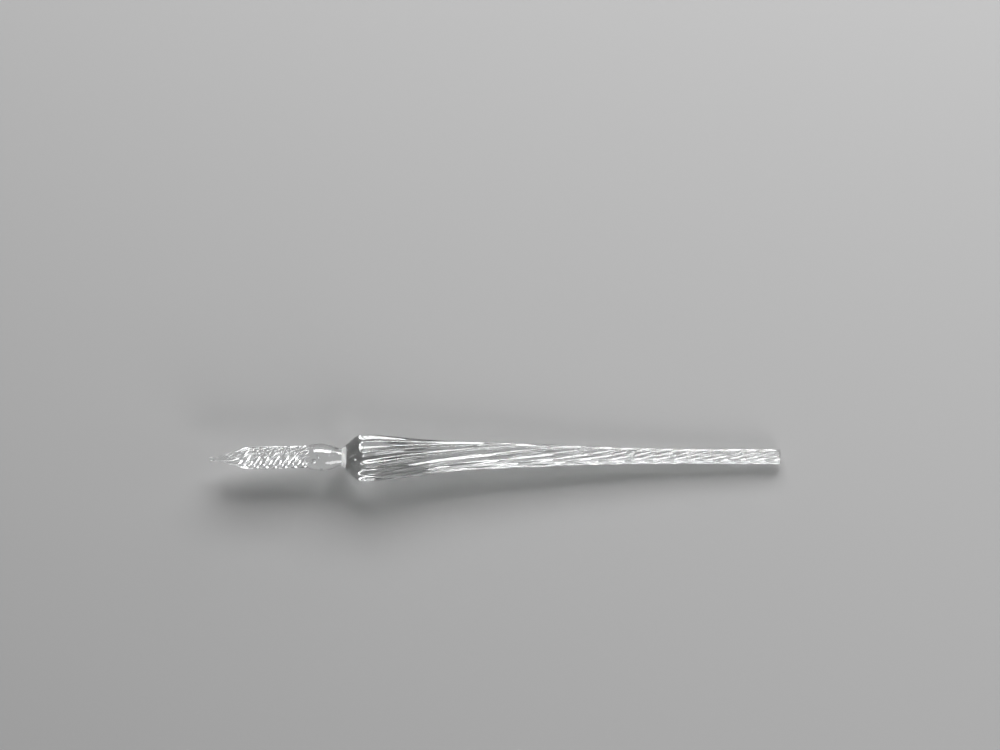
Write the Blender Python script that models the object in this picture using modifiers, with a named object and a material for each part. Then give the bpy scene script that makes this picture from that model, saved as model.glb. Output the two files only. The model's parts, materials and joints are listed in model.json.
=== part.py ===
"""A lamp-worked glass dip pen, lying on its side the way it rests on a table.

The pen is three pieces of clear glass, welded end to end: a twisted nib, a smooth collar bead and a
fluted handle. Each is modelled along its own +Z, from the writing end to the tail end, and hangs on
the empty "pen_axis". That empty's +Z is the pen's axis, with the writing tip at its origin. It lays the
pen down along world +X, with the bulb of the handle and the tail both touching the table at z = 0.
"""

import math
from bisect import bisect_right

import bmesh
import bpy
from mathutils import Matrix, Vector

MM = 0.001

# Driving dimensions. Distances are along the pen's axis, from the writing tip.
PEN_LENGTH = 175 * MM
NIB_END = 30.2 * MM
WAIST = 40.3 * MM
BULB = 48.3 * MM
WELD_GAP = 0.05 * MM

# Nib: a blunt tip, then a cone that swells in an S-curve to a straight shaft.
TIP_RADIUS = 0.5 * MM
TIP_FLAT = 0.6
TIP_ROUND = 0.4 * MM
NIB_RADIUS = 3.44 * MM
NIB_CONE = 13.1 * MM

# Collar bead: its outline, as (distance, radius).
WAIST_RADIUS = 2.65 * MM
COLLAR_OUTLINE = (
    (NIB_END, 3.5 * MM),
    (31.8 * MM, 3.98 * MM),
    (34.6 * MM, 4.21 * MM),
    (36.7 * MM, 3.82 * MM),
    (39.0 * MM, 3.02 * MM),
    (WAIST, WAIST_RADIUS),
)

# Handle: a dome that flares from the waist to the bulb, then a long draw down to a thin straight tail.
BULB_RADIUS = 7.4 * MM
TAIL_RADIUS = 2.26 * MM
DOME_FULLNESS = 2.6
DOME_FLARE = 1.45
TAPER_OUTLINE = (
    (BULB, BULB_RADIUS),
    (55.7 * MM, 6.62 * MM),
    (66.7 * MM, 5.35 * MM),
    (81.4 * MM, 4.33 * MM),
    (97.9 * MM, 3.63 * MM),
    (116.3 * MM, 2.88 * MM),
    (134.6 * MM, 2.4 * MM),
    (150 * MM, TAIL_RADIUS),
    (PEN_LENGTH, TAIL_RADIUS),
)

# Ribs and the grooves between them. A groove's depth is a share of the radius over its ridges. Its
# hollowness is 1 for an even wave, less for a sharp groove between broad round ribs, and more for a
# broad hollow between narrow ridges.
NIB_RIBS = 12
NIB_GROOVE = 0.16
NIB_GROOVE_START = 0.5 * MM
NIB_GROOVE_FULL = 9 * MM
NIB_HOLLOWNESS = 0.5
FLUTES = 12
FLUTE = 0.14
FLUTE_START = 45 * MM
FLUTE_FULL = 48 * MM
FLUTE_HOLLOWNESS = 1.6

# Both twists are left-handed. The nib was twisted first and its point drawn out afterwards, which
# stretches the twist where it is thin.
NIB_LEAD = 35.3 * MM
NIB_TWIST_POWER = 2

# The handle was twisted hot and turned most where it is thin, as (distance, degrees a millimetre).
HANDLE_TWIST = (
    (WAIST, 1.1),
    (75 * MM, 1.2),
    (92 * MM, 1.6),
    (110 * MM, 2.65),
    (120 * MM, 3.4),
    (130 * MM, 4.5),
    (140 * MM, 5.35),
    (155 * MM, 5.85),
    (PEN_LENGTH, 5.85),
)

# How far the hand-drawn axis wanders sideways, as (distance, offset).
WANDER = (
    (0 * MM, -0.6 * MM),
    (15 * MM, -0.2 * MM),
    (30 * MM, 0.05 * MM),
    (40 * MM, -0.1 * MM),
    (48 * MM, -0.3 * MM),
    (61 * MM, -0.15 * MM),
    (78 * MM, 0.3 * MM),
    (98 * MM, 0.43 * MM),
    (125 * MM, 0.33 * MM),
    (150 * MM, 0.12 * MM),
    (PEN_LENGTH, 0 * MM),
)

# Greatest spacing of the rings that the shapes run through.
TIP_STEP = 0.2 * MM
NIB_STEP = 1 * MM
COLLAR_STEP = 0.9 * MM
DOME_STEP = 0.75 * MM
TAPER_STEP = 3 * MM
TAIL_STEP = 2 * MM
TAIL_START = 110 * MM
POINTS_PER_RIB = 4
COLLAR_STEPS = 40
MERGE_DISTANCE = 0.05 * MM

GLASS_COLOUR = (0.96, 0.98, 0.98, 1)
GLASS_ROUGHNESS = 0.02
GLASS_IOR = 1.47
SHARP_ANGLE = math.radians(50)


def smooth_through(stations, level_ends=False):
    """A function of distance on one smooth curve through the stations, which never overshoots them."""
    along = [station[0] for station in stations]
    values = [station[1] for station in stations]
    steps = [after - before for before, after in zip(along, along[1:])]
    rises = [(after - before) / step for before, after, step in zip(values, values[1:], steps)]
    slopes = [0 if level_ends else rises[0]]
    for before, after in zip(rises, rises[1:]):
        slopes.append(2 * before * after / (before + after) if before * after > 0 else 0)
    slopes.append(0 if level_ends else rises[-1])

    def curve(distance):
        i = min(max(bisect_right(along, distance) - 1, 0), len(steps) - 1)
        t = (distance - along[i]) / steps[i]
        level = values[i] + (values[i + 1] - values[i]) * t * t * (3 - 2 * t)
        lean = slopes[i] * t * (1 - t) ** 2 - slopes[i + 1] * t * t * (1 - t)
        return level + lean * steps[i]

    return curve


collar_radius = smooth_through(COLLAR_OUTLINE)
taper_radius = smooth_through(TAPER_OUTLINE, level_ends=True)
handle_twist = smooth_through(HANDLE_TWIST)
wander = smooth_through(WANDER)


def eased(start, end, distance):
    """0 before start and 1 after end, with a smooth step between them."""
    t = min(max((distance - start) / (end - start), 0), 1)
    return t * t * (3 - 2 * t)


def nib_radius(distance):
    cone = TIP_RADIUS + (NIB_RADIUS - TIP_RADIUS) * eased(0, NIB_CONE, distance)
    inset = 1 - min(distance / TIP_ROUND, 1)
    return cone * (TIP_FLAT + (1 - TIP_FLAT) * math.sqrt(1 - inset * inset))


def handle_radius(distance):
    if distance >= BULB:
        return taper_radius(distance)
    share = (BULB - distance) / (BULB - WAIST)
    return WAIST_RADIUS + (BULB_RADIUS - WAIST_RADIUS) * (1 - share**DOME_FULLNESS) ** DOME_FLARE


def nib_groove(distance):
    return NIB_GROOVE * eased(NIB_GROOVE_START, NIB_GROOVE_FULL, distance)


def flute(distance):
    return FLUTE * eased(FLUTE_START, FLUTE_FULL, distance)


def spaced(*stretches):
    """Distances through stretches of (start, end, greatest step), evenly spaced within each."""
    distances = []
    for start, end, step in stretches:
        count = math.ceil((end - start) / step)
        distances += [start + (end - start) * i / count for i in range(count)]
    return distances + [stretches[-1][1]]


def nib_twist(distance):
    """Degrees a millimetre."""
    return 360 * MM / NIB_LEAD * (nib_radius(distance) / NIB_RADIUS) ** NIB_TWIST_POWER


def turns(distances, twist):
    """How far the cane has turned at each distance, in radians, where it twists by so many degrees a mm."""
    total = [0]
    for before, after in zip(distances, distances[1:]):
        total.append(total[-1] + math.radians(twist((before + after) / 2)) * (after - before) / MM)
    return total


def ribbed_section(ribs, radius, groove, hollowness, ridge_angle):
    """The points of one section about its own centre, counter-clockwise, starting on a ridge."""
    section = []
    for i in range(ribs * POINTS_PER_RIB):
        wave = (1 - math.cos(math.tau * i / POINTS_PER_RIB)) / 2
        reach = radius * (1 - groove * (1 - (1 - wave) ** hollowness))
        angle = ridge_angle + math.tau * i / (ribs * POINTS_PER_RIB)
        section.append(Vector((reach * math.cos(angle), reach * math.sin(angle), 0)))
    return section


def loft(name, distances, sections):
    """A closed mesh through the sections, which all differ from each other, along the wandering axis."""
    shape = bmesh.new()
    loops = []
    for distance, section in zip(distances, sections):
        centre = Vector((0, wander(distance), distance - distances[0]))
        loops.append([shape.verts.new(centre + point) for point in section])
    for lower, upper in zip(loops, loops[1:]):
        for i in range(len(lower)):
            j = (i + 1) % len(lower)
            shape.faces.new((lower[i], lower[j], upper[j], upper[i]))
    shape.faces.new(reversed(loops[0]))
    shape.faces.new(loops[-1])
    mesh = bpy.data.meshes.new(name)
    shape.to_mesh(mesh)
    shape.free()
    mesh.shade_smooth()
    mesh.set_sharp_from_angle(angle=SHARP_ANGLE)
    return mesh


def glass(name):
    material = bpy.data.materials.new(name)
    material.use_nodes = True
    shader = material.node_tree.nodes["Principled BSDF"]
    shader.inputs["Base Color"].default_value = GLASS_COLOUR
    shader.inputs["Roughness"].default_value = GLASS_ROUGHNESS
    shader.inputs["Metallic"].default_value = 0
    shader.inputs["IOR"].default_value = GLASS_IOR
    shader.inputs["Transmission Weight"].default_value = 1
    return material


def place(name, mesh, collection, pen_axis, distance):
    """An object made of the mesh, whose base is at this distance along the pen's axis."""
    piece = bpy.data.objects.new(name, mesh)
    collection.objects.link(piece)
    piece.parent = pen_axis
    piece.location.z = distance
    mesh.materials.append(glass(name + "_glass"))
    return piece


def make_nib(collection, pen_axis):
    end = NIB_END - WELD_GAP / 2
    distances = spaced((0, TIP_ROUND, TIP_STEP), (TIP_ROUND, end, NIB_STEP))
    sections = [
        ribbed_section(NIB_RIBS, nib_radius(distance), nib_groove(distance), NIB_HOLLOWNESS, -turn)
        for distance, turn in zip(distances, turns(distances, nib_twist))
    ]
    return place("nib", loft("nib", distances, sections), collection, pen_axis, 0)


def make_collar_bead(collection, pen_axis):
    start = NIB_END + WELD_GAP / 2
    end = WAIST - WELD_GAP / 2
    distances = spaced((start, end, COLLAR_STEP))
    outline = [(collar_radius(distance), 0, distance - start) for distance in distances]
    profile = [(0, 0, end - start)] + outline[::-1] + [(0, 0, 0)]
    mesh = bpy.data.meshes.new("collar_bead")
    mesh.from_pydata(profile, [(i, i + 1) for i in range(len(profile) - 1)], [])
    bead = place("collar_bead", mesh, collection, pen_axis, start)
    bead.location.y = wander((start + end) / 2)
    turning = bead.modifiers.new("turning", "SCREW")
    turning.steps = COLLAR_STEPS
    turning.render_steps = COLLAR_STEPS
    turning.use_merge_vertices = True
    turning.merge_threshold = MERGE_DISTANCE
    turning.use_smooth_shade = True
    return bead


def make_handle(collection, pen_axis):
    start = WAIST + WELD_GAP / 2
    distances = spaced(
        (start, BULB, DOME_STEP),
        (BULB, TAIL_START, TAPER_STEP),
        (TAIL_START, PEN_LENGTH, TAIL_STEP),
    )
    turned = turns(distances, handle_twist)
    # At the bulb one flute faces straight down, so the pen sits on the two ridges beside it.
    at_bulb = turned[distances.index(BULB)]
    ridge_angles = [math.pi / FLUTES - (turn - at_bulb) for turn in turned]
    sections = [
        ribbed_section(FLUTES, handle_radius(distance), flute(distance), FLUTE_HOLLOWNESS, ridge_angle)
        for distance, ridge_angle in zip(distances, ridge_angles)
    ]
    return place("handle", loft("handle", distances, sections), collection, pen_axis, start)


def lay_down(pen_axis, nib, handle):
    """Lays the axis along world +X, resting on the table, with the pen's box centred over the origin."""
    points = [piece.location + vertex.co for piece in (nib, handle) for vertex in piece.data.vertices]
    # The pieces' own +X points down once the pen lies on its side.
    tail_end = [point for point in points if point.z > PEN_LENGTH - MERGE_DISTANCE]
    tail = max(tail_end, key=lambda point: point.x)
    ahead = [point for point in points if point.z < TAIL_START]
    tilt = max(math.atan2(point.x - tail.x, tail.z - point.z) for point in ahead)
    turn = math.pi / 2 + tilt
    laid = [Matrix.Rotation(turn, 3, "Y") @ point for point in points]
    low = Vector([min(point[i] for point in laid) for i in range(3)])
    high = Vector([max(point[i] for point in laid) for i in range(3)])
    middle = (low + high) / 2
    pen_axis.rotation_euler.y = turn
    pen_axis.location = (-middle.x, -middle.y, -low.z)


def clear_scene():
    for item in list(bpy.data.objects):
        bpy.data.objects.remove(item)


def main():
    clear_scene()
    collection = bpy.data.collections.new("glass_dip_pen")
    bpy.context.scene.collection.children.link(collection)
    pen_axis = bpy.data.objects.new("pen_axis", None)
    collection.objects.link(pen_axis)
    nib = make_nib(collection, pen_axis)
    make_collar_bead(collection, pen_axis)
    handle = make_handle(collection, pen_axis)
    lay_down(pen_axis, nib, handle)


main()
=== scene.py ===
"""The looks of a lamp-worked glass dip pen: its nib, collar bead and fluted handle in clear glass."""

import json
import math

import bpy
import numpy as np
from mathutils import Matrix, Vector


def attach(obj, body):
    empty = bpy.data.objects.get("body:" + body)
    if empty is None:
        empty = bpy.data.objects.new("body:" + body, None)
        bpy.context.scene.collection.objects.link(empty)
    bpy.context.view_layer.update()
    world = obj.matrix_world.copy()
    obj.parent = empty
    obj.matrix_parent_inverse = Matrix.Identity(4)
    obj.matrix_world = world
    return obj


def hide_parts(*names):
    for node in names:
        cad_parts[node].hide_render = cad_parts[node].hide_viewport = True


MM = 0.001

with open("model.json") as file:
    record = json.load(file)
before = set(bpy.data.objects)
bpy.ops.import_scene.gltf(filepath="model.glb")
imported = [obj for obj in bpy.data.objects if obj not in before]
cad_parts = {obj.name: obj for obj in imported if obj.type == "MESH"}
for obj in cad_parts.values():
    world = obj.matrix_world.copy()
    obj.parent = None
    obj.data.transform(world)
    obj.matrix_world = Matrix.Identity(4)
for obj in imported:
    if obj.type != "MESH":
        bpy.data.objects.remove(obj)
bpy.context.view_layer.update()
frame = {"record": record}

# The pen's own axis, from the flat face at its tail that the record gives.
TAIL_MOUNT = frame["record"]["mounts"][0]
PEN_LENGTH = 175 * MM
ALONG = Vector(TAIL_MOUNT["axis"]).normalized()
TIP = Vector(TAIL_MOUNT["pos_m"]) - ALONG * PEN_LENGTH
DOWN = Vector((0, 1, 0)).cross(ALONG)
PEN_AXIS = Matrix.Translation(TIP) @ Matrix((DOWN, (0, 1, 0), ALONG)).transposed().to_4x4()

# Distances along that axis, from the writing tip.
NIB_END = 30.2 * MM
WAIST = 40.3 * MM
BULB = 48.3 * MM

# Outlines, as in the CAD model.
TIP_RADIUS = 0.5 * MM
TIP_FLAT = 0.6
TIP_ROUND = 0.4 * MM
NIB_RADIUS = 3.44 * MM
NIB_CONE = 13.1 * MM
WAIST_RADIUS = 2.65 * MM
COLLAR_OUTLINE = (
    (NIB_END, 3.5 * MM),
    (31.8 * MM, 3.98 * MM),
    (34.6 * MM, 4.21 * MM),
    (36.7 * MM, 3.82 * MM),
    (39.0 * MM, 3.02 * MM),
    (WAIST, WAIST_RADIUS),
)
BULB_RADIUS = 7.4 * MM
TAIL_RADIUS = 2.26 * MM
DOME_FULLNESS = 2.6
DOME_FLARE = 1.45
TAPER_OUTLINE = (
    (BULB, BULB_RADIUS),
    (55.7 * MM, 6.62 * MM),
    (66.7 * MM, 5.35 * MM),
    (81.4 * MM, 4.33 * MM),
    (97.9 * MM, 3.63 * MM),
    (116.3 * MM, 2.88 * MM),
    (134.6 * MM, 2.4 * MM),
    (150 * MM, TAIL_RADIUS),
    (PEN_LENGTH, TAIL_RADIUS),
)
NIB_RIBS = 12
NIB_GROOVE = 0.16
NIB_GROOVE_START = 0.5 * MM
NIB_GROOVE_FULL = 9 * MM
NIB_HOLLOWNESS = 0.5
FLUTES = 12
FLUTE = 0.14
FLUTE_START = 45 * MM
FLUTE_FULL = 48 * MM
FLUTE_HOLLOWNESS = 1.6
NIB_LEAD = 35.3 * MM
NIB_TWIST_POWER = 2
HANDLE_TWIST = (
    (WAIST, 1.1),
    (75 * MM, 1.2),
    (92 * MM, 1.6),
    (110 * MM, 2.65),
    (120 * MM, 3.4),
    (130 * MM, 4.5),
    (140 * MM, 5.35),
    (155 * MM, 5.85),
    (PEN_LENGTH, 5.85),
)
WANDER = (
    (0 * MM, -0.6 * MM),
    (15 * MM, -0.2 * MM),
    (30 * MM, 0.05 * MM),
    (40 * MM, -0.1 * MM),
    (48 * MM, -0.3 * MM),
    (61 * MM, -0.15 * MM),
    (78 * MM, 0.3 * MM),
    (98 * MM, 0.43 * MM),
    (125 * MM, 0.33 * MM),
    (150 * MM, 0.12 * MM),
    (PEN_LENGTH, 0 * MM),
)

# How much of the writing tip is ground, and how rough the grinding left its very end.
GROUND_TIP = 5 * MM
GROUND_ROUGHNESS = 0.35

# The nib's ribs die away just before its weld to the collar bead, which leaves a shallow notch.
RIBS_FADE = 1.1 * MM
WELD_RADIUS = 3.34 * MM
WELD_NOTCH = 0.4 * MM

# The cut face of the tail was held in the flame, which rounded its rim and left it a little uneven. The
# face has rings of points at these shares of its radius.
RIM_ROUND = 0.3 * MM
RIM_UNEVEN = 0.12 * MM
TAIL_FACE_RINGS = (0.85, 0.65, 0.4, 0.15)

# How far freehand glass strays from its plan. The waves run round the pen and drift along it, each as
# (number round, distance for one turn of drift, start).
WAVES = (
    (1, 47 * MM, 0.4),
    (2, -31 * MM, 2.1),
    (3, 22 * MM, 4.0),
    (5, -17 * MM, 1.3),
    (7, 38 * MM, 5.2),
)
STRAY_RADIUS = 0.004
STRAY_GROOVE = 0.2
STRAY_ANGLE = math.radians(1.3)

# Seeds, the small bubbles shut in the glass, as (distance, sideways, height, radius, stretch), in mm.
COLLAR_SEEDS = (
    (31.9, -1.2, 2.3, 0.75, 1),
    (33.3, -0.3, 2.9, 0.36, 1.1),
    (32.9, 0.3, 2.4, 0.18, 1.2),
    (34.2, -3.3, 0.9, 0.4, 1.1),
    (33.7, 2.9, 1.7, 0.2, 1.2),
    (34.3, 2.6, 1.8, 0.1, 1.6),
    (32.2, 1.6, -1.9, 0.14, 1.4),
    (35.9, 0.8, -1.2, 0.1, 1.5),
)
HANDLE_SEEDS = (
    (44.7, -0.5, 5.6, 0.36, 1),
    (42.9, 0.1, 4.2, 0.1, 5),
    (43.8, 0.6, 4.9, 0.11, 5),
    (44.8, 1.2, 5.5, 0.09, 5),
    (45.0, -1.6, 3.2, 0.08, 2),
    (48.1, 3.1, 4.7, 0.2, 1.6),
    (52.1, 3.3, 4.1, 0.24, 1.2),
    (52.6, 3.0, 4.4, 0.08, 2.5),
    (58.7, -2.2, 3.7, 0.1, 3),
    (63.5, 1.4, 3.6, 0.07, 5),
    (70.2, -1.1, 3.2, 0.09, 4),
    (84.9, 0.9, 2.2, 0.06, 7),
    (107.4, -0.4, 1.7, 0.05, 8),
)
SEED_AROUND = 18

# The small bubbles at the weld behind the nib: how far from the axis they reach, how far past the weld
# they lie, and their radius, in mm. Every second one is small, and flatness is their length over width.
WELD_SEEDS_REACH = 3.12
WELD_SEEDS_PAST = 0.32
WELD_SEED = 0.17
SMALL_WELD_SEED = 0.09
WELD_SEED_FLATNESS = 0.7

# Clear glass. Its cords are thin streaks of slightly different glass, drawn out along the ribs. Cords
# and haze each set in between two levels of a noise that runs from 0 to 1.
GLASS_IOR = 1.47
CORD_TINT = (0.85, 0.863, 0.861, 1)
GLASS_TINT = (0.915, 0.922, 0.92, 1)
CORD_SCALE = 9
CORD_LEVELS = (0.35, 0.65)
CORD_RELIEF = 0.006 * MM
WAVE_SCALE = 260
WAVE_RELIEF = 0.02 * MM
HAZE_SCALE = 190
HAZE_LEVELS = (0.55, 0.75)
POLISH = 0.004
HAZE = 0.05

# The studio, with its lamps as (name, place, size, power). Each faces the pen.
FLOOR_SIZE = 4
FLOOR_COLOUR = (0.22, 0.22, 0.22, 1)
FLOOR_ROUGHNESS = 0.8
FLOOR_SHEEN = 0.1
WALL_GLOW = 0.06
CEILING_GLOW = 0
GLOW_TOP = 0.35
LAMPS = (
    ("soft_box", (0.15, 0.85, 0.6), (0.9, 0.5), 32),
    ("left_card", (0.6, -0.85, 0.5), (0.6, 0.6), 11),
    ("right_card", (0.6, 0.85, 0.3), (0.6, 0.3), 4),
    ("tail_card", (1.1, 0, 0.3), (0.6, 0.3), 2),
)
CAMERA_HEIGHT = 1.3
CAMERA_PLACE = (1.3 * MM, 25.4 * MM, CAMERA_HEIGHT)
CAMERA_REACH = 10
SENSOR_WIDTH = 36
FRAME_WIDTH = 306 * MM
MOST_BOUNCES = 32

# Fineness of the visible meshes.
NIB_AROUND = NIB_RIBS * 24
HANDLE_AROUND = FLUTES * 20
RIM_STEPS = 8
NIB_STEP = 0.15 * MM
COLLAR_STEP = 0.1 * MM
DOME_STEP = 0.12 * MM
TAPER_STEP = 0.4 * MM
SHARP_ANGLE = math.radians(50)

# The length of cane over which its cords change as much as they do across the cane.
DRAW_LENGTH = 150 * MM


def smooth_through(stations, level_ends=False):
    """A function of distances on one smooth curve through the stations, which never overshoots them."""
    along, values = np.array(stations, float).T
    steps = np.diff(along)
    rises = np.diff(values) / steps
    slopes = np.zeros(len(along))
    for i, (before, after) in enumerate(zip(rises, rises[1:]), start=1):
        if before * after > 0:
            slopes[i] = 2 * before * after / (before + after)
    if not level_ends:
        slopes[0] = rises[0]
        slopes[-1] = rises[-1]

    def curve(distance):
        i = np.clip(np.searchsorted(along, distance, side="right") - 1, 0, len(steps) - 1)
        t = (distance - along[i]) / steps[i]
        level = values[i] + (values[i + 1] - values[i]) * t * t * (3 - 2 * t)
        lean = slopes[i] * t * (1 - t) ** 2 - slopes[i + 1] * t * t * (1 - t)
        return level + lean * steps[i]

    return curve


collar_radius = smooth_through(COLLAR_OUTLINE)
taper_radius = smooth_through(TAPER_OUTLINE, level_ends=True)
handle_twist = smooth_through(HANDLE_TWIST)
wander = smooth_through(WANDER)


def eased(start, end, distance):
    """0 before start and 1 after end, with a smooth step between them."""
    t = np.clip((distance - start) / (end - start), 0, 1)
    return t * t * (3 - 2 * t)


def nib_radius(distance):
    cone = TIP_RADIUS + (NIB_RADIUS - TIP_RADIUS) * eased(0, NIB_CONE, distance)
    inset = 1 - np.minimum(distance / TIP_ROUND, 1)
    return cone * (TIP_FLAT + (1 - TIP_FLAT) * np.sqrt(1 - inset * inset))


def handle_radius(distance):
    share = np.clip((BULB - distance) / (BULB - WAIST), 0, 1)
    dome = WAIST_RADIUS + (BULB_RADIUS - WAIST_RADIUS) * (1 - share**DOME_FULLNESS) ** DOME_FLARE
    return np.where(distance < BULB, dome, taper_radius(np.maximum(distance, BULB)))


def nib_twist(distance):
    """Degrees a millimetre."""
    return 360 * MM / NIB_LEAD * (nib_radius(distance) / NIB_RADIUS) ** NIB_TWIST_POWER


def turns(distances, twist):
    """How far the cane has turned at each distance, in radians, where it twists by so many degrees a mm."""
    middles = (distances[1:] + distances[:-1]) / 2
    return np.concatenate([[0], np.cumsum(np.radians(twist(middles)) * np.diff(distances) / MM)])


def spaced(start, end, step):
    return np.linspace(start, end, math.ceil((end - start) / step) + 1)


def stray(turn, distances, start):
    """A smooth uneven field on the glass, within -1 and 1, that closes round each ring."""
    total = 0
    for number, drift, phase in WAVES:
        along = distances[:, None] / drift
        total = total + np.sin(math.tau * (number * turn + along) + phase + start * number)
    return total / len(WAVES)


def ribbed_rings(distances, around, ribs, radius, groove, hollowness, ridge_angles):
    """Rings of points in the pen's own frame, one at each distance, each starting on a ridge."""
    turn = np.arange(around) / around
    wave = (1 - np.cos(math.tau * ribs * turn)) / 2
    hollow = 1 - (1 - wave) ** hollowness
    depth = groove[:, None] * (1 + STRAY_GROOVE * stray(turn, distances, 0))
    # Each ring only ever strays inwards, so the pen stays inside its plan.
    plan = radius[:, None] * (1 - STRAY_RADIUS * (1 + stray(turn, distances, 1)))
    reach = plan * (1 - depth * hollow)
    angle = ridge_angles[:, None] + math.tau * turn + STRAY_ANGLE * stray(turn, distances, 2)
    x = reach * np.cos(angle)
    y = reach * np.sin(angle) + wander(distances)[:, None]
    z = np.broadcast_to(distances[:, None], x.shape)
    return np.stack([x, y, z], axis=2)


def seed_points(seed):
    """A ball of points round a seed, in rings from one end to the other, with one point at each end."""
    distance, sideways, height, radius, stretch = np.array(seed) * (MM, MM, MM, MM, 1)
    centre = np.array((-height, sideways + wander(distance), distance))
    polar = np.linspace(0, math.pi, SEED_AROUND // 2 + 1)[1:-1, None]
    round_it = math.tau * np.arange(SEED_AROUND) / SEED_AROUND
    x = radius * np.sin(polar) * np.cos(round_it)
    y = radius * np.sin(polar) * np.sin(round_it)
    z = np.broadcast_to(-radius * stretch * np.cos(polar), x.shape)
    ball = np.stack([x, y, z], axis=2).reshape(-1, 3)
    ends = np.array(((0, 0, -radius * stretch), (0, 0, radius * stretch)))
    return centre + np.concatenate([ball, ends])


def seed_faces(first):
    """The faces of a ball whose points start at this number. They face its middle, away from the glass."""
    rings = SEED_AROUND // 2 - 1
    low = first + rings * SEED_AROUND
    faces = []
    for i in range(SEED_AROUND):
        j = (i + 1) % SEED_AROUND
        faces.append((low, first + i, first + j))
        last = first + (rings - 1) * SEED_AROUND
        faces.append((low + 1, last + j, last + i))
        for ring in range(rings - 1):
            base = first + ring * SEED_AROUND
            faces.append((base + j, base + i, base + i + SEED_AROUND, base + j + SEED_AROUND))
    return faces


def tube_mesh(name, rings, seeds=()):
    """A closed mesh through the rings, with a flat face at each end and with seeds inside."""
    count, around = rings.shape[:2]
    here = np.arange(around)
    after = (here + 1) % around
    base = np.arange(count - 1)[:, None] * around
    quads = np.stack([base + here, base + after, base + after + around, base + here + around], axis=2)
    points = rings.reshape(-1, 3)
    faces = [list(range(around - 1, -1, -1)), list(range((count - 1) * around, count * around))]
    faces += quads.reshape(-1, 4).tolist()
    # Where each point lay before the cane was twisted and drawn, for the cords in the glass.
    turn = np.tile(math.tau * here / around, count)
    drawn = np.stack([np.cos(turn), np.sin(turn), points[:, 2] / DRAW_LENGTH], axis=1)
    for seed in seeds:
        faces += seed_faces(len(points))
        points = np.concatenate([points, seed_points(seed)])
    mesh = bpy.data.meshes.new(name)
    mesh.from_pydata(points.tolist(), [], faces)
    drawn = np.concatenate([drawn, np.zeros((len(points) - len(drawn), 3))])
    mesh.attributes.new("drawn", "FLOAT_VECTOR", "POINT").data.foreach_set("vector", drawn.ravel())
    mesh.transform(PEN_AXIS)
    mesh.shade_smooth()
    mesh.set_sharp_from_angle(angle=SHARP_ANGLE)
    return mesh


def noise(nodes, links, vector, scale, detail):
    texture = nodes.new("ShaderNodeTexNoise")
    texture.inputs["Scale"].default_value = scale
    texture.inputs["Detail"].default_value = detail
    links.new(vector, texture.inputs["Vector"])
    return texture.outputs["Fac"]


def clear_glass(name):
    """Clear glass with fine cords along its ribs, a faint waviness, and thin patches of haze."""
    material = bpy.data.materials.new(name)
    material.use_nodes = True
    nodes = material.node_tree.nodes
    links = material.node_tree.links
    shader = nodes["Principled BSDF"]
    shader.inputs["IOR"].default_value = GLASS_IOR
    shader.inputs["Transmission Weight"].default_value = 1
    drawn = nodes.new("ShaderNodeAttribute")
    drawn.attribute_name = "drawn"
    place_on = nodes.new("ShaderNodeTexCoord").outputs["Object"]
    cords = noise(nodes, links, drawn.outputs["Vector"], CORD_SCALE, 4)
    waviness = noise(nodes, links, place_on, WAVE_SCALE, 1)

    tint = nodes.new("ShaderNodeValToRGB")
    ends = tint.color_ramp.elements
    ends[0].position, ends[1].position = CORD_LEVELS
    ends[0].color, ends[1].color = CORD_TINT, GLASS_TINT
    links.new(cords, tint.inputs["Fac"])
    links.new(tint.outputs["Color"], shader.inputs["Base Color"])

    haze = nodes.new("ShaderNodeMapRange")
    haze.inputs["From Min"].default_value = HAZE_LEVELS[0]
    haze.inputs["From Max"].default_value = HAZE_LEVELS[1]
    haze.inputs["To Min"].default_value = POLISH
    haze.inputs["To Max"].default_value = HAZE
    links.new(noise(nodes, links, place_on, HAZE_SCALE, 5), haze.inputs["Value"])
    links.new(haze.outputs["Result"], shader.inputs["Roughness"])

    gentle = nodes.new("ShaderNodeBump")
    gentle.inputs["Distance"].default_value = WAVE_RELIEF
    links.new(waviness, gentle.inputs["Height"])
    fine = nodes.new("ShaderNodeBump")
    fine.inputs["Distance"].default_value = CORD_RELIEF
    links.new(cords, fine.inputs["Height"])
    links.new(gentle.outputs["Normal"], fine.inputs["Normal"])
    links.new(fine.outputs["Normal"], shader.inputs["Normal"])
    return material


def grind_tip(material):
    """The writing tip is ground to a fine matt finish, which fades out along the cone."""
    nodes = material.node_tree.nodes
    links = material.node_tree.links
    roughness = nodes["Principled BSDF"].inputs["Roughness"]
    drawn = nodes.new("ShaderNodeAttribute")
    drawn.attribute_name = "drawn"
    parts = nodes.new("ShaderNodeSeparateXYZ")
    links.new(drawn.outputs["Vector"], parts.inputs[0])
    ground = nodes.new("ShaderNodeMapRange")
    ground.inputs["From Min"].default_value = 0
    ground.inputs["From Max"].default_value = GROUND_TIP / DRAW_LENGTH
    ground.inputs["To Min"].default_value = GROUND_ROUGHNESS
    ground.inputs["To Max"].default_value = 0
    links.new(parts.outputs["Z"], ground.inputs["Value"])
    total = nodes.new("ShaderNodeMath")
    links.new(roughness.links[0].from_socket, total.inputs[0])
    links.new(ground.outputs["Result"], total.inputs[1])
    links.new(total.outputs[0], roughness)


def weld_face():
    """Inside a weld the glass runs on, so its face there neither bends nor mirrors light."""
    material = bpy.data.materials.new("weld_inside")
    material.use_nodes = True
    nodes = material.node_tree.nodes
    shader = nodes.new("ShaderNodeBsdfTransparent")
    nodes.remove(nodes["Principled BSDF"])
    material.node_tree.links.new(shader.outputs[0], nodes["Material Output"].inputs["Surface"])
    return material


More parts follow.
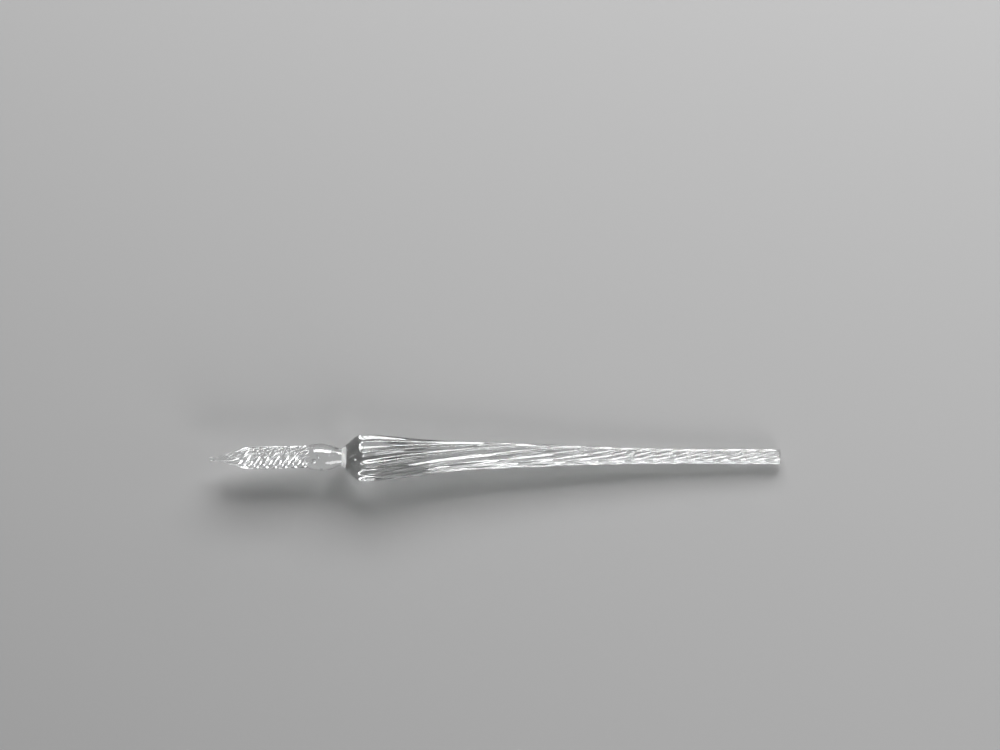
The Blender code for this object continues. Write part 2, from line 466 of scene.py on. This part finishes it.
def place(name, mesh, slot, welds):
    """Puts a piece on the pen. Its faces numbered in welds lie inside the glass, against its neighbour."""
    piece = bpy.data.objects.new(name, mesh)
    bpy.context.scene.collection.objects.link(piece)
    mesh.materials.append(clear_glass(slot))
    mesh.materials.append(WELD_FACE)
    for face in welds:
        mesh.polygons[face].material_index = 1
    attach(piece, "root")
    return piece


def make_nib():
    tip = spaced(0, TIP_ROUND, TIP_ROUND / RIM_STEPS)[:-1]
    distances = np.concatenate([tip, spaced(TIP_ROUND, NIB_END, NIB_STEP)])
    fade = eased(NIB_END - RIBS_FADE, NIB_END, distances)
    groove = NIB_GROOVE * eased(NIB_GROOVE_START, NIB_GROOVE_FULL, distances) * (1 - fade)
    radius = nib_radius(distances) + (WELD_RADIUS - NIB_RADIUS) * fade
    angles = -turns(distances, nib_twist)
    rings = ribbed_rings(distances, NIB_AROUND, NIB_RIBS, radius, groove, NIB_HOLLOWNESS, angles)
    piece = place("glass_nib", tube_mesh("nib_glass", rings), "nib_glass", [1])
    grind_tip(piece.data.materials[0])
    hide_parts("nib")
    return angles[-1]


def weld_seeds(groove_angle):
    """The small bubbles shut in where each of the nib's grooves ran into the weld."""
    seeds = []
    for i in range(2 * NIB_RIBS):
        angle = groove_angle + math.pi * (i + 0.3 * math.sin(7 * i)) / NIB_RIBS
        size = (WELD_SEED if i % 2 else SMALL_WELD_SEED) * (1 + 0.4 * math.sin(5 * i + 1))
        reach = WELD_SEEDS_REACH - size + 0.08 * math.sin(3 * i)
        distance = NIB_END / MM + WELD_SEEDS_PAST + 0.1 * math.sin(11 * i)
        sideways = reach * math.sin(angle)
        height = -reach * math.cos(angle)
        seeds.append((distance, sideways, height, size, WELD_SEED_FLATNESS))
    return seeds


def make_collar(end_of_ribs, start_of_flutes):
    distances = spaced(NIB_END, WAIST, COLLAR_STEP)
    none = np.zeros(len(distances))
    # It turns from the nib's ribs to the handle's flutes, so that its ends meet theirs point for point.
    angles = end_of_ribs + (start_of_flutes - end_of_ribs) * eased(NIB_END, WAIST, distances)
    notch = 1 - eased(NIB_END, NIB_END + WELD_NOTCH, distances)
    radius = collar_radius(distances) + (WELD_RADIUS - collar_radius(NIB_END)) * notch
    rings = ribbed_rings(distances, NIB_AROUND, NIB_RIBS, radius, none, 1, angles)
    seeds = list(COLLAR_SEEDS) + weld_seeds(end_of_ribs)
    piece = place("glass_collar_bead", tube_mesh("collar_glass", rings, seeds), "collar_glass", [0, 1])
    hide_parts("collar_bead")


def make_handle():
    rim_start = PEN_LENGTH - RIM_ROUND
    distances = np.concatenate(
        [
            spaced(WAIST, BULB, DOME_STEP)[:-1],
            spaced(BULB, rim_start, TAPER_STEP)[:-1],
            spaced(rim_start, PEN_LENGTH, RIM_ROUND / RIM_STEPS),
        ]
    )
    turned = turns(distances, handle_twist)
    at_bulb = np.interp(BULB, distances, turned)
    angles = math.pi / FLUTES - (turned - at_bulb)
    groove = FLUTE * eased(FLUTE_START, FLUTE_FULL, distances)
    past_rim = np.maximum(distances - rim_start, 0)
    radius = handle_radius(distances) - RIM_ROUND + np.sqrt(RIM_ROUND**2 - past_rim**2)
    rings = ribbed_rings(distances, HANDLE_AROUND, FLUTES, radius, groove, FLUTE_HOLLOWNESS, angles)
    # The rim melted back a little more in some places than in others.
    turn = np.arange(HANDLE_AROUND) / HANDLE_AROUND
    melted = RIM_UNEVEN * (1 + stray(turn, distances, 4)) / 2
    rings[:, :, 2] -= melted * eased(PEN_LENGTH - 4 * RIM_ROUND, PEN_LENGTH, distances)[:, None]
    centre = np.array((0, wander(PEN_LENGTH), PEN_LENGTH - RIM_UNEVEN / 2))
    face = [centre + (rings[-1] - centre) * share for share in TAIL_FACE_RINGS]
    rings = np.concatenate([rings, face])
    piece = place("glass_handle", tube_mesh("handle_glass", rings, HANDLE_SEEDS), "handle_glass", [0])
    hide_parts("handle")
    return angles[0]


def make_floor():
    bpy.ops.mesh.primitive_plane_add(size=FLOOR_SIZE)
    floor = bpy.context.object
    floor.name = "floor"
    material = bpy.data.materials.new("pale_floor")
    material.use_nodes = True
    shader = material.node_tree.nodes["Principled BSDF"]
    shader.inputs["Base Color"].default_value = FLOOR_COLOUR
    shader.inputs["Roughness"].default_value = FLOOR_ROUGHNESS
    shader.inputs["Specular IOR Level"].default_value = FLOOR_SHEEN
    floor.data.materials.append(material)


def soft_light(name, place_at, size, power):
    lamp = bpy.data.lights.new(name, "AREA")
    lamp.shape = "RECTANGLE"
    lamp.size, lamp.size_y = size
    lamp.energy = power
    light = bpy.data.objects.new(name, lamp)
    bpy.context.scene.collection.objects.link(light)
    light.location = place_at
    light.rotation_euler = (-Vector(place_at)).to_track_quat("-Z", "Y").to_euler()


def make_surroundings():
    """A dim studio, lighter near the floor than overhead."""
    world = bpy.data.worlds.new("studio")
    world.use_nodes = True
    nodes = world.node_tree.nodes
    links = world.node_tree.links
    height = nodes.new("ShaderNodeSeparateXYZ")
    links.new(nodes.new("ShaderNodeTexCoord").outputs["Generated"], height.inputs[0])
    fade = nodes.new("ShaderNodeMapRange")
    fade.inputs["From Min"].default_value = 0.0
    fade.inputs["From Max"].default_value = GLOW_TOP
    fade.inputs["To Min"].default_value = WALL_GLOW
    fade.inputs["To Max"].default_value = CEILING_GLOW
    links.new(height.outputs["Z"], fade.inputs["Value"])
    links.new(fade.outputs["Result"], nodes["Background"].inputs["Strength"])
    nodes["Background"].inputs["Color"].default_value = (1, 1, 1, 1)
    bpy.context.scene.world = world


def make_camera():
    camera = bpy.data.cameras.new("camera")
    rig = bpy.data.objects.new("camera", camera)
    bpy.context.scene.collection.objects.link(rig)
    rig.location = CAMERA_PLACE
    camera.sensor_width = SENSOR_WIDTH
    camera.lens = SENSOR_WIDTH * (CAMERA_HEIGHT - BULB_RADIUS) / FRAME_WIDTH
    camera.clip_end = CAMERA_REACH
    bpy.context.scene.camera = rig


def make_studio():
    make_floor()
    for lamp in LAMPS:
        soft_light(*lamp)
    make_surroundings()
    make_camera()
    scene = bpy.context.scene
    scene.view_settings.view_transform = "Standard"
    # Light runs along inside the handle and takes many turns to leave it.
    scene.cycles.max_bounces = MOST_BOUNCES
    scene.cycles.glossy_bounces = MOST_BOUNCES
    scene.cycles.transmission_bounces = MOST_BOUNCES


WELD_FACE = weld_face()
make_collar(make_nib(), make_handle())
make_studio()
